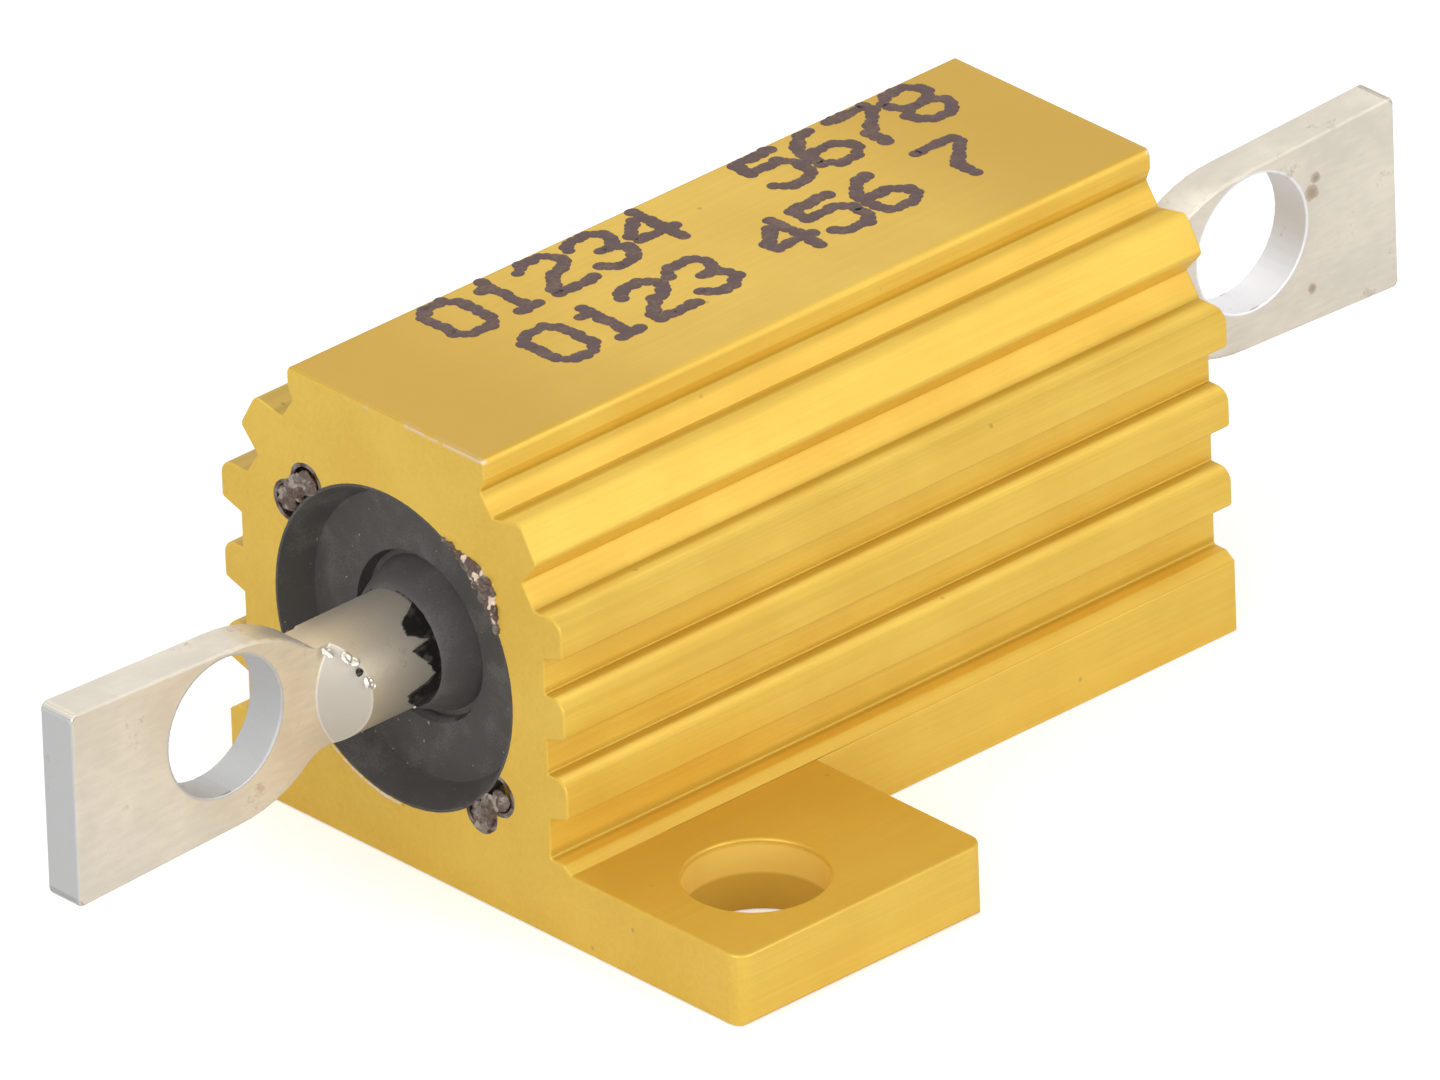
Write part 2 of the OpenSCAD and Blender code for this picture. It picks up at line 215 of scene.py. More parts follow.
class StageSettings(bpy.types.PropertyGroup):
    azimuth: turn("Azimuth", "Direction of the camera, seen from above", -41.9008)
    elevation: turn("Elevation", "Height of the camera above the horizon", 28.4367)
    roll: turn("Roll", "Turn of the camera about its own axis", -2.1104)
    distance: length("Distance", "From the camera to the origin", 687.058)
    aim_x: length("Aim across", "Sideways place of the camera", -0.27257, -1.0)
    aim_y: length("Aim up", "Upward place of the camera", 2.72136, -1.0)
    lens: bpy.props.FloatProperty(
        name="Lens", description="Focal length in millimetres", default=1030.64, min=1.0)
    paper: tint("Paper", "the floor", (0.86, 0.86, 0.86))
    glow: share("Glow", "How much brighter the camera sees the floor", 0.42)
    ambient: share("Ambient", "Strength of the light from all round", 0.62, 2.0)


# ---- Work on meshes ----

def activate(piece):
    for thing in bpy.context.selected_objects:
        thing.select_set(False)
    piece.select_set(True)
    bpy.context.view_layer.objects.active = piece


def edit(piece):
    """Enters edit mode on one piece, with nothing selected."""
    activate(piece)
    bpy.ops.object.mode_set(mode="EDIT")
    bpy.ops.mesh.select_mode(type="VERT")
    bpy.ops.mesh.select_all(action="DESELECT")


def leave():
    bpy.ops.object.mode_set(mode="OBJECT")


def select_where(piece, kind, test):
    """Enters edit mode with the vertices or edges selected that pass a test."""
    edit(piece)
    leave()
    for group in ("vertices", "edges", "polygons"):
        items = getattr(piece.data, group)
        items.foreach_set("select", [group == kind and test(item) for item in items])
    bpy.ops.object.mode_set(mode="EDIT")
    bpy.ops.mesh.select_mode(type={"vertices": "VERT", "edges": "EDGE"}[kind])


def named(name):
    """Names what the last operator added, and its mesh."""
    piece = bpy.context.active_object
    piece.name = name
    piece.data.name = name
    return piece


def settle(piece):
    """Moves a piece's place, turn and scale into its mesh."""
    activate(piece)
    bpy.ops.object.transform_apply(location=True, rotation=True, scale=True)


def add_modifier(piece, kind, **values):
    activate(piece)
    bpy.ops.object.modifier_add(type=kind)
    modifier = piece.modifiers[-1]
    for key, value in values.items():
        setattr(modifier, key, value)
    bpy.ops.object.modifier_apply(modifier=modifier.name)


def smooth(piece, degrees):
    """Smooths the curved faces and keeps the flat ones flat."""
    activate(piece)
    bpy.ops.object.shade_smooth_by_angle(angle=math.radians(degrees))
    add_modifier(piece, "WEIGHTED_NORMAL", keep_sharp=True, weight=100)


def fold_angles(mesh):
    """The angle between the faces at each edge, 0 at an open one."""
    normals = {}
    for face in mesh.polygons:
        for key in face.edge_keys:
            normals.setdefault(key, []).append(face.normal)
    return {key: pair[0].angle(pair[1], 0.0) if len(pair) == 2 else 0.0
            for key, pair in normals.items()}


def break_edges(piece, width, degrees, test, segments=2):
    """Bevels the edges that fold by more than an angle and pass a test of their middle."""
    folds = fold_angles(piece.data)
    points = piece.data.vertices

    def chosen(edge):
        a, b = edge.vertices
        return folds[edge.key] > math.radians(degrees) and test((points[a].co + points[b].co) / 2)
    select_where(piece, "edges", chosen)
    bpy.ops.mesh.bevel(offset=width, segments=segments, affect="EDGES", clamp_overlap=False)
    leave()


def roughen(piece, strength, size, direction="NORMAL"):
    """Pushes the surface about with clouds; strength and size are in millimetres."""
    texture = bpy.data.textures.new(piece.name, "CLOUDS")
    texture.noise_scale = size * MM
    texture.noise_depth = 2
    add_modifier(piece, "DISPLACE", texture=texture, texture_coords="LOCAL",
                 strength=strength * MM, direction=direction)
    bpy.data.textures.remove(texture)


def cad_copy(node, name, cuts):
    """A merged copy of a CAD node's mesh, which then stands for the node.

    Flat faces are made whole again, but for cuts through the holes, so that no face runs
    all round a hole. A cut is an axis, 0 to 2, and its place.
    """
    piece = bpy.data.objects.new(name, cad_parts[node].data.copy())
    piece.data.name = name
    piece.data.materials.clear()
    bpy.context.collection.objects.link(piece)
    edit(piece)
    bpy.ops.mesh.select_all(action="SELECT")
    bpy.ops.mesh.remove_doubles(threshold=0.002 * MM)
    for axis, place in cuts:
        normal = [0, 0, 0]
        normal[axis] = 1
        bpy.ops.mesh.bisect(plane_co=[place * part for part in normal], plane_no=normal)
        bpy.ops.mesh.mark_seam()
        bpy.ops.mesh.select_all(action="SELECT")
    bpy.ops.mesh.dissolve_limited(angle_limit=math.radians(0.6), delimit={"SEAM"})
    leave()
    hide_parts(node)
    return piece


def finish_piece(piece, finish, degrees=20):
    """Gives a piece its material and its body."""
    piece.data.materials.clear()
    piece.data.materials.append(finish)
    smooth(piece, degrees)
    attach(piece, BODY)


def round_lead(piece, settings):
    """Gives the lead and its crowned slants the normals of true cylinders."""
    fall = math.atan2(LEAD_R - settings.tab_t / 2, settings.slant_len)
    mesh = piece.data
    normals = [corner.vector.copy() for corner in mesh.corner_normals]
    for face in mesh.polygons:
        places = [mesh.vertices[index].co for index in face.vertices]
        reaches = [math.hypot(place.y, place.z - AXIS_Z) for place in places]
        on_lead = (abs(face.normal.x) < 0.15 and min(reaches) > LEAD_R * 0.985
                   and max(reaches) < LEAD_R * 1.015)
        on_slant = (abs(face.normal.x) > 0.4 and abs(face.normal.y) > 0.4
                    and max(reaches) < LEAD_R * 1.01)
        for corner, place in zip(face.loop_indices, places):
            height = place.z - AXIS_Z
            if on_lead:
                normals[corner] = Vector((0, place.y, height)).normalized()
            elif on_slant:
                rise = height / settings.crown_r
                level = math.sqrt(1 - rise * rise)
                normals[corner] = Vector((
                    math.copysign(level * math.sin(fall), place.x),
                    math.copysign(level * math.cos(fall), place.y), rise))
    mesh.normals_split_custom_set(normals)


def round_fins(piece):
    """Lets the upper faces of the fins look rounded all the way from root to tip."""
    mesh = piece.data
    normals = [corner.vector.copy() for corner in mesh.corner_normals]
    for face in mesh.polygons:
        if abs(face.normal.x) > 0.1 or face.normal.z < 0.02:
            continue
        for root, tip, top, drop, inner, outer, soon in FIN_TOPS:
            places = [mesh.vertices[index].co / MM for index in face.vertices]
            if not all(root - 0.02 < abs(place.y) < tip + 0.02
                       and top - drop - 0.01 < place.z < top + 0.02 for place in places):
                continue
            for corner, place in zip(face.loop_indices, places):
                along = max(0.0, min(1.0, (abs(place.y) - root) / (tip - root)))
                lean = math.radians(inner + (outer - inner) * along ** soon)
                normals[corner] = Vector((0, math.copysign(math.sin(lean), place.y), math.cos(lean)))
    mesh.normals_split_custom_set(normals)


def join(pieces, name):
    activate(pieces[0])
    for piece in pieces[1:]:
        piece.select_set(True)
    if len(pieces) > 1:
        bpy.ops.object.join()
    return named(name)


# ---- Shader sums ----

class Field:
    """A shader socket that can be used in sums."""

    def __init__(self, nodes, socket):
        self.nodes = nodes
        self.socket = socket

    def math(self, operation, *values):
        return self.nodes.node("ShaderNodeMath", {"operation": operation}, dict(enumerate(values)))

    def __add__(self, other):
        return self.math("ADD", self, other)

    def __sub__(self, other):
        return self.math("SUBTRACT", self, other)

    def __rsub__(self, other):
        return self.math("SUBTRACT", other, self)

    def __mul__(self, other):
        return self.math("MULTIPLY", self, other)

    def __truediv__(self, other):
        return self.math("DIVIDE", self, other)

    def __pow__(self, other):
        return self.math("POWER", self, other)

    def __and__(self, other):
        return self.math("MINIMUM", self, other)

    def __or__(self, other):
        return self.math("MAXIMUM", self, other)

    __radd__ = __add__
    __rmul__ = __mul__

    def step(self, low, high):
        """0 up to low, 1 from high, smooth between them; low may be the larger."""
        return self.nodes.node(
            "ShaderNodeMapRange", {"interpolation_type": "SMOOTHSTEP"},
            {"Value": self, "From Min": low, "From Max": high})

    def abs(self):
        return self.math("ABSOLUTE", self)


class Nodes:
    """Adds nodes to a tree."""

    def __init__(self, tree):
        self.tree = tree

    def node(self, kind, settings, values, output=0):
        """Adds a node: its settings first, then the values or links of its sockets."""
        node = self.tree.nodes.new(kind)
        for key, value in settings.items():
            setattr(node, key, value)
        for key, value in values.items():
            self.put(node.inputs[key], value)
        if isinstance(output, tuple):
            return [Field(self, node.outputs[key]) for key in output]
        return Field(self, node.outputs[output])

    def put(self, socket, value):
        if isinstance(value, Field):
            self.tree.links.new(value.socket, socket)
        elif socket.type == "RGBA" and len(value) == 3:
            socket.default_value = (*value, 1.0)
        else:
            socket.default_value = value


class Finish(Nodes):
    """A procedural material on a piece's own coordinates, in millimetres."""

    def __init__(self, name, roughness, metallic=0.0):
        self.material = bpy.data.materials.new(name)
        self.material.use_nodes = True
        super().__init__(self.material.node_tree)
        self.shader = self.tree.nodes["Principled BSDF"]
        self.set(Roughness=roughness, Metallic=metallic)
        here = self.node("ShaderNodeTexCoord", {}, {}, "Object")
        self.place = self.node("ShaderNodeVectorMath", {"operation": "SCALE"},
                               {0: here, "Scale": 1 / MM})
        self.x, self.y, self.z = self.node(
            "ShaderNodeSeparateXYZ", {}, {0: self.place}, ("X", "Y", "Z"))

    def set(self, **values):
        for key, value in values.items():
            self.put(self.shader.inputs[key.replace("_", " ")], value)

    def scaled(self, x, y, z):
        return self.node("ShaderNodeVectorMath", {"operation": "MULTIPLY"},
                         {0: self.place, 1: (x, y, z)})

    def noise(self, scale, detail=3.0, rough=0.6, at=None):
        return self.node("ShaderNodeTexNoise", {},
                         {"Vector": at or self.place, "Scale": scale, "Detail": detail,
                          "Roughness": rough}, "Fac")

    def mix(self, factor, first, second):
        return self.node("ShaderNodeMix", {"data_type": "RGBA"}, {0: factor, 6: first, 7: second}, 2)

    def cover(self, colour, roughness, height, strength, depth):
        """Sets colour, roughness and relief, its depth in millimetres."""
        normal = self.node(
            "ShaderNodeBump", {},
            {"Strength": strength, "Distance": depth * MM, "Height": height}, "Normal")
        self.set(Base_Color=colour, Roughness=roughness, Normal=normal)
        return self.material

    def spot(self, x, y, z, radius, soft=0.3):
        """1 within a radius of a place, falling to 0 over a soft edge."""
        gap = self.node("ShaderNodeVectorMath", {"operation": "DISTANCE"},
                        {0: self.place, 1: (x, y, z)}, "Value")
        return gap.step(radius * (1 + soft), radius * (1 - soft))


def distance(aside, along):
    """Distance from a line, out of the two offsets from it."""
    return (aside * aside + along * along) ** 0.5


def any_of(masks):
    """One mask out of many: the greatest at each place."""
    joined = masks[0]
    for mask in masks[1:]:
        joined = joined | mask
    return joined


def stake_angles(settings, sides):
    """Angles on a rim in both stakes, each as a share of the spread from the middle."""
    for half in (0.0, math.pi):
        for side in sides:
            yield settings.stake_angle + half + side * settings.stake_spread


def punch_places(settings):
    """Middles of the punch marks in millimetres, at both ends."""
    reach = (BORE_R + settings.punch_offset) / MM
    for end in ENDS.values():
        for angle in stake_angles(settings, (-0.5, 0.5)):
            yield (end * END_X / MM, reach * math.cos(angle), AXIS_Z / MM + reach * math.sin(angle))


def punched_metal(f, settings):
    """The bruised metal round the stakes, at both ends."""
    marks = any_of([f.spot(*place, settings.punch_d / MM * 0.62, 0.16)
                    for place in punch_places(settings)])
    ragged = f.noise(5.0, 4.0, 0.7)
    near_end = (f.x.abs() - (END_X / MM - 0.4)).step(0.0, 0.1)
    return (marks + (ragged - 0.5) * 0.9).step(0.42, 0.55) & near_end


def worn_edge(f):
    """Wear along the upper edge of each end face."""
    edge = ((f.x.abs() - END_X / MM).abs().step(0.13, 0.05) & (f.z - TOP_Z / MM).abs().step(0.13, 0.05))
    return edge & (f.noise(1.1, 4.0, 0.75) + f.y * 0.02).step(0.5, 0.4)


def darker_tops(f, settings):
    """Darker, more orange colour on the flat top towards its ends and on the feet's tops."""
    top = (f.z - TOP_Z / MM).abs().step(0.05, 0.03) & f.x.abs().step(2.0, 6.5)
    foot = ((f.z - settings.foot_t / MM).abs().step(0.03, 0.01)
            & f.y.abs().step(FIN_TIP, FIN_TIP + 0.05))
    return (top * 0.85) | (foot * 0.5)


def painted_groove_shade(f):
    """Painted shade along the roots of the grooves, short of the end faces."""
    lines = any_of([distance(f.y.abs() - aside, f.z - height).step(0.17, 0.04)
                    for aside, height in SHADED_ROOT_LINES])
    return lines & (END_X / MM - f.x.abs()).step(0.01, 0.03)


def hole_walls(f, settings):
    """The walls of the feet's holes."""
    radius = settings.hole_r / MM
    return distance(f.x.abs() - (END_X - settings.hole_x) / MM,
                    f.y.abs() - (BODY_HIGH.y - settings.hole_y) / MM).step(radius + 0.06, radius + 0.02)


def gold_finish(settings):
    f = Finish("gold_anodised", settings.roughness, settings.metallic)
    drawn = f.noise(1.0, at=f.scaled(0.12, 9.0, 9.0))
    fine = f.noise(1.0, 2.0, 0.5, f.scaled(0.5, 34.0, 34.0))
    cloud = f.noise(0.55, 3.0, 0.55)
    grain = f.noise(26.0)
    mottled = f.noise(5.0)
    tone = (drawn * 0.4 + fine * 0.25 + cloud * 0.6 + grain * 0.15) / 1.4
    colour = f.mix(tone.step(0.36, 0.66), settings.deep_gold, settings.gold)

    punched = punched_metal(f, settings)
    bruised = f.mix(mottled.step(0.35, 0.7), settings.scorched, settings.punched)
    colour = f.mix(punched, colour, bruised)
    colour = f.mix(worn_edge(f) * 0.8, colour, settings.bare)
    speck = f.node("ShaderNodeTexVoronoi", {"feature": "F1"},
                   {"Vector": f.place, "Scale": 0.9, "Randomness": 1.0}, "Distance")
    colour = f.mix(speck.step(0.055, 0.02) * 0.35, colour, settings.scorched)
    colour = f.mix(darker_tops(f, settings), colour, settings.dull)
    # Painted shade in the grooves' roots.
    colour = f.mix(painted_groove_shade(f) * 0.5, colour, settings.root)

    # Painted light on a hole's wall: a painted highlight in its mouth and painted shade below.
    wall = hole_walls(f, settings)
    depth = settings.foot_t / MM - f.z
    colour = f.mix(wall & depth.step(0.06, 0.14), colour, settings.mouth)
    colour = f.mix(wall & depth.step(0.6, 0.68), colour, settings.painted_hole_shade)

    f.set(Metallic=settings.metallic + punched * (0.9 - settings.metallic))
    return f.cover(
        colour, settings.roughness + (drawn - 0.5) * 0.16 + (grain - 0.5) * 0.1,
        drawn * 0.55 + fine * 0.25 + grain * 0.2 + mottled * punched * 2.0, 0.35, 0.02)


def compound_finish(settings, name, tone):
    f = Finish(name, settings.roughness)
    grain = f.noise(30.0, 4.0, 0.65)
    cloud = f.noise(1.3, 4.0, 0.6)
    dust = (cloud * 0.7 + grain * 0.5).step(0.56, 0.78) * 0.5
    colour = f.mix(dust, tone, settings.dust)
    speck = f.noise(11.0, 1.0, 0.4).step(0.765, 0.8)
    colour = f.mix(speck * 0.7, colour, settings.speck)
    return f.cover(colour, settings.roughness + (cloud - 0.5) * 0.22,
                   grain * 0.5 + cloud * 0.6, 0.4, 0.02)


def ink_finish(settings):
    f = Finish("marking_ink", 0.55)
    thin = (f.noise(3.0) * 0.6 + f.noise(16.0, 2.0, 0.5) * 0.5).step(0.53, 0.72)
    return f.cover(f.mix(thin * 0.6, settings.ink, settings.ink_thin),
                   0.5 + f.noise(9.0, 2.0, 0.5) * 0.15, f.noise(22.0), 0.3, 0.006)


def cut_faces(f, settings):
    """The tabs' end faces, and the eyelets' walls."""
    tip = (f.x.abs() - TAB_HIGH.x / MM + 0.05).step(0.0, 0.04)
    radius = settings.eyelet_r / MM
    wall = distance(f.x.abs() - (TAB_HIGH.x - settings.eyelet_x) / MM,
                    f.z - (AXIS_Z + settings.eyelet_rise) / MM).step(radius + 0.07, radius + 0.03)
    return tip, wall


def lead_parts(f, settings):
    """The round of the leads, and the pressed slants beside the tabs."""
    radius, beside = LEAD_R / MM, settings.tab_t / 2 / MM
    from_axis = distance(f.y, f.z - AXIS_Z / MM)
    past_end = f.x.abs() - END_X / MM
    lead = from_axis.step(radius - 0.03, radius - 0.01) & past_end.step(2.4, 1.4)
    slants = (f.y.abs().step(beside + 0.01, beside + 0.03)
              & from_axis.step(radius - 0.01, radius - 0.03) & past_end.step(1.1, 1.2))
    return lead, slants


def tin_stains(f):
    """Faint stains all over, and the bruises on the rear tab."""
    stain = f.noise(1.6, 5.0, 0.75).step(0.6, 0.72) * 0.4
    for place in BRUISES:
        blot = f.spot(*place, 0.8) + (f.noise(4.0) - 0.5) * 1.4
        stain = stain | (blot.step(0.35, 0.8) & f.spot(*place, 0.9)) * 0.7
    return stain


def tin_finish(settings):
    f = Finish("tinned_copper", settings.roughness, 0.6)
    cloud = f.noise(0.8, 4.0, 0.6)
    wiped = f.noise(1.0, at=f.scaled(2.0, 3.0, 9.0))
    grain = f.noise(24.0)
    bright = tuple(min(1.0, part * 1.16) for part in settings.tin)
    colour = f.mix((cloud * 0.7 + wiped * 0.4).step(0.4, 0.75), settings.tin, bright)
    tip, wall = cut_faces(f, settings)
    colour = f.mix(tip | wall, colour, settings.cut)
    # Painted light on the rear eyelet's wall, where the body's shadow falls.
    colour = f.mix(wall & f.x.step(0.0, 1.0), colour, settings.rear_wall_painted_light)
    lead, slants = lead_parts(f, settings)
    colour = f.mix(lead, colour, settings.lead)
    colour = f.mix(slants, colour, settings.pressed)
    colour = f.mix(tin_stains(f), colour, settings.stain)
    return f.cover(
        colour, settings.roughness + (grain - 0.5) * 0.2 + (tip | wall) * 0.15,
        grain * 0.4 + wiped * 0.5 + cloud * 0.3, 0.3, 0.02)


def burr_finish(settings):
    # Burnished tin, its near-white colour partly a painted glint.
    f = Finish("glinting_tin", 0.25, 0.6)
    fine = f.noise(12.0)
    return f.cover(f.mix(fine, settings.tin, settings.burnished_glint), 0.2 + fine * 0.2, fine, 0.3, 0.01)


def flux_finish(settings):
    f = Finish("flux_residue", 0.16)
    lumps = f.noise(4.5, 3.0, 0.55)
    # The paler colour on the flux's bumps is a painted highlight.
    return f.cover(f.mix(lumps.step(0.5, 0.66), settings.residue, settings.residue_lit),
                   0.2 + lumps * 0.2, lumps, 0.35, 0.03)


def torn_finish(name, settings, bright):
    """Broken, soiled metal; bright is the colour of its barest bits."""
    f = Finish(name, 0.5, 0.3)
    patches = f.noise(3.6, 4.0, 0.65)
    fine = f.noise(15.0)
    soiled = f.mix(fine.step(0.35, 0.65), settings.scorched, settings.soiled)
    metal = f.mix(fine.step(0.45, 0.72), settings.shaded, settings.torn)
    colour = f.mix(patches.step(0.45, 0.62), soiled, metal)
    bits = f.noise(4.5, 2.0, 0.5).step(0.55, 0.63)
    return f.cover(f.mix(bits, colour, bright), 0.4 + fine * 0.25, fine + patches, 0.4, 0.02)


def scraped_finish(settings):
    f = Finish("scraped_metal", 0.4, 0.3)
    fine = f.noise(9.0)
    return f.cover(f.mix(fine.step(0.35, 0.6), settings.gold, settings.bare),
                   0.3 + fine * 0.2, fine, 0.4, 0.01)


def ceramic_finish(tones):
    f = Finish("fired_ceramic", 0.7)
    grain = f.noise(20.0, 4.0)
    return f.cover(f.mix(grain, *tones), 0.7, grain, 0.3, 0.01)


def drawn_metal_finish(name, tones, roughness):
    f = Finish(name, roughness, 0.95)
    lines = f.noise(1.0, at=f.scaled(18.0, 2.0, 2.0))
    return f.cover(f.mix(lines, *tones), roughness + (lines - 0.5) * 0.2, lines, 0.3, 0.008)


# ---- Operators ----

class RESISTOR_OT_housing(bpy.types.Operator):
    """Adds the finned housing with broken edges"""
    bl_idname = "resistor.housing"
    bl_label = "Housing"

    def execute(self, context):
        settings = context.scene.resistor_housing
        film = context.scene.resistor_marking.film
        holes_x = END_X - settings.hole_x
        piece = cad_copy("housing", "finned_housing", ((2, AXIS_Z), (0, -holes_x), (0, holes_x)))
        # The flat top is lowered by the ink's thickness, so the digits end at full height.
        select_where(piece, "vertices", lambda v: v.co.z > TOP_Z - 0.001 * MM)
        bpy.ops.transform.translate(value=(0, 0, -film))
        leave()
        clear_of_stakes = BORE_R + settings.punch_offset + settings.punch_d
        chamfered = 0.2 * MM
        break_edges(piece, settings.edge_break, 40,
                    lambda p: (math.hypot(p.y, p.z - AXIS_Z) > clear_of_stakes and p.z > chamfered))
        finish_piece(piece, gold_finish(settings))
        round_fins(piece)
        return {"FINISHED"}


class RESISTOR_OT_moulding(bpy.types.Operator):
    """Adds the dished moulding compound in the bore"""
    bl_idname = "resistor.moulding"
    bl_label = "Moulding"

    def execute(self, context):
        settings = context.scene.resistor_moulding
        piece = cad_copy("moulding", "dished_moulding", ((2, AXIS_Z),))
        finish = compound_finish(settings, "moulding_compound", settings.compound)
        finish_piece(piece, finish)
        return {"FINISHED"}


class RESISTOR_OT_terminals(bpy.types.Operator):
    """Adds the two eyelet terminals with pressed edges"""
    bl_idname = "resistor.terminals"
    bl_label = "Terminals"

    def execute(self, context):
        settings = context.scene.resistor_terminal
        finish = tin_finish(settings)
        eyelet_x = TAB_HIGH.x - settings.eyelet_x
        eyelet_z = AXIS_Z + settings.eyelet_rise

        def on_eyelet(place):
            return (math.hypot(abs(place.x) - eyelet_x, place.z - eyelet_z)
                    < settings.eyelet_r * 1.02)

        def on_tab(place):
            return abs(place.x) > TAB_HIGH.x - settings.tab_len and not on_eyelet(place)

        for end, sign in ENDS.items():
            piece = cad_copy("terminal_" + end, "eyelet_terminal_" + end, ((0, sign * eyelet_x),))
            break_edges(piece, settings.edge_r, 50, on_tab, 3)
            break_edges(piece, settings.eyelet_edge, 50, on_eyelet)
            finish_piece(piece, finish)
            round_lead(piece, settings)
        return {"FINISHED"}


class RESISTOR_OT_burrs(bpy.types.Operator):
    """Adds the small burrs raised where the slants were pressed, a painted glint in their near-white
    colour, and a dark lump as painted shade in a pit
    """
    bl_idname = "resistor.burrs"
    bl_label = "Press burrs"

    # Distance from the body's middle, height above the lead's axis, and radius.
    GLINT_BURRS = ((9.47, 0.87, 0.1), (9.2, 0.74, 0.11), (9.09, 0.65, 0.09), (8.99, 0.3, 0.1),
              (8.93, 0.22, 0.07), (7.68, -0.82, 0.05))
    # A dark lump of flux colour, painted shade in a pit.
    SHADED_PIT = ((9.12, 0.5, 0.08),)

    def execute(self, context):
        settings = context.scene.resistor_terminal
        bright, dark = burr_finish(settings), flux_finish(settings)
        for end, sign in ENDS.items():
            for kind, places, finish in (("burrs", self.GLINT_BURRS, bright), ("pit", self.SHADED_PIT, dark)):
                parts = []
                for out, rise, radius in places:
                    aside = math.sqrt((LEAD_R / MM) ** 2 - rise ** 2)
                    bpy.ops.mesh.primitive_ico_sphere_add(
                        subdivisions=3, radius=radius * MM,
                        location=(sign * out * MM, -aside * MM, AXIS_Z + rise * MM))
                    part = named("burr")
                    part.rotation_euler.x = -math.asin(rise * MM / LEAD_R)
                    part.scale.y = 0.25
                    settle(part)
                    parts.append(part)
                piece = join(parts, kind + "_" + end)
                roughen(piece, 0.1, 0.07)
                finish_piece(piece, finish, 60)
        return {"FINISHED"}


class RESISTOR_OT_element(bpy.types.Operator):
    """Gives the wound element inside the moulding its finishes"""
    bl_idname = "resistor.element"
    bl_label = "Wound element"

    # The two tones of each material.
    CERAMIC = ((0.72, 0.69, 0.62), (0.86, 0.84, 0.79))
    ALLOY = ((0.38, 0.34, 0.29), (0.56, 0.52, 0.46))
    STEEL = ((0.42, 0.42, 0.42), (0.62, 0.62, 0.62))

    def execute(self, context):
        steel = drawn_metal_finish("pressed_steel", self.STEEL, 0.35)
        finishes = {
            "ceramic_core": ceramic_finish(self.CERAMIC),
            "resistance_wire": drawn_metal_finish("resistance_alloy", self.ALLOY, 0.3),
            "end_cap_front": steel,
            "end_cap_rear": steel,
        }
        for node, finish in finishes.items():
            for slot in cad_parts[node].material_slots:
                slot.material = finish
        return {"FINISHED"}


class RESISTOR_OT_marking(bpy.types.Operator):
    """Prints plain digits on the flat top in dots of ink"""
    bl_idname = "resistor.marking"
    bl_label = "Printed digits"

    # Left end of each block, bottom of its row, and its digits.
    ROWS = (
        (-4.85, 0.98, "01234"), (2.35, 0.98, "5678"),
        (-4.3, -0.88, "0123"), (0.85, -0.88, "456"), (4.75, -0.88, "7"),
    )

    def droplet(self, settings):
        """One flat dot of ink with a rounded edge."""
        bpy.ops.mesh.primitive_circle_add(
            vertices=12, radius=settings.dot_d / 2, fill_type="NGON",
            location=(0, 0, TOP_Z - settings.film))
        dot = named("ink_dot")
        settle(dot)
        bpy.ops.object.mode_set(mode="EDIT")
        bpy.ops.mesh.select_mode(type="FACE")
        bpy.ops.mesh.select_all(action="SELECT")
        for rise, shrink in ((0.5, 0.96), (0.45, 0.8)):
            bpy.ops.mesh.extrude_region_move(
                TRANSFORM_OT_translate={"value": (0, 0, settings.film * rise)})
            bpy.ops.transform.resize(value=(shrink, shrink, 1))
        leave()
        return dot

    def dots(self, digit):
        """Columns and rows of a digit's dots, and of the ink run between neighbours."""
        rows = DIGITS[digit].split()
        on = {(column, row) for row, line in enumerate(rows)
              for column, mark in enumerate(line) if mark == "1"}
        places = sorted(on)
        for column, row in sorted(on):
            for right, down in ((1, 0), (0, 1), (1, 1), (-1, 1)):
                beside = {(column + right, row), (column, row + down)} - {(column, row)}
                slanted = right and down
                if (column + right, row + down) in on and not (slanted and beside & on):
                    places.append((column + right / 2, row + down / 2))
        return [(column, len(rows) - 1 - row) for column, row in places]

    def execute(self, context):
        settings = context.scene.resistor_marking
        chance = random.Random(7)
        pattern = self.droplet(settings)
        stray = settings.jitter * settings.dot_d
        base = TOP_Z - settings.film
        dots = []
        for left, bottom, text in self.ROWS:
            for index, digit in enumerate(text):
                for column, row in self.dots(digit):
                    x = left * MM + index * settings.advance + column * settings.dot_pitch
                    y = bottom * MM + row * settings.dot_pitch
                    size = chance.uniform(0.86, 1.14)
                    mesh = pattern.data.copy()
                    mesh.transform(
                        Matrix.Translation((x + chance.uniform(-stray, stray),
                                            y + chance.uniform(-stray, stray), base))
                        @ Matrix.Diagonal((size, size * chance.uniform(0.9, 1.1),
                                           chance.uniform(0.8, 1.0), 1))
                        @ Matrix.Translation((0, 0, -base)))
                    dot = bpy.data.objects.new("ink_dot", mesh)
                    context.collection.objects.link(dot)
                    dots.append(dot)
        bpy.data.objects.remove(pattern)
        piece = join(dots, "printed_digits")
        finish_piece(piece, ink_finish(settings), 60)
        return {"FINISHED"}


def lump(name, end, radius, angle, size, flat):
    """A flattened lump of torn metal on an end face, beside the bore."""
    bpy.ops.mesh.primitive_ico_sphere_add(
        subdivisions=4, radius=size, location=(ENDS[end] * END_X, radius * math.cos(angle),
                  AXIS_Z + radius * math.sin(angle)))
    piece = named(name)
    piece.scale.x = flat
    settle(piece)
    return piece


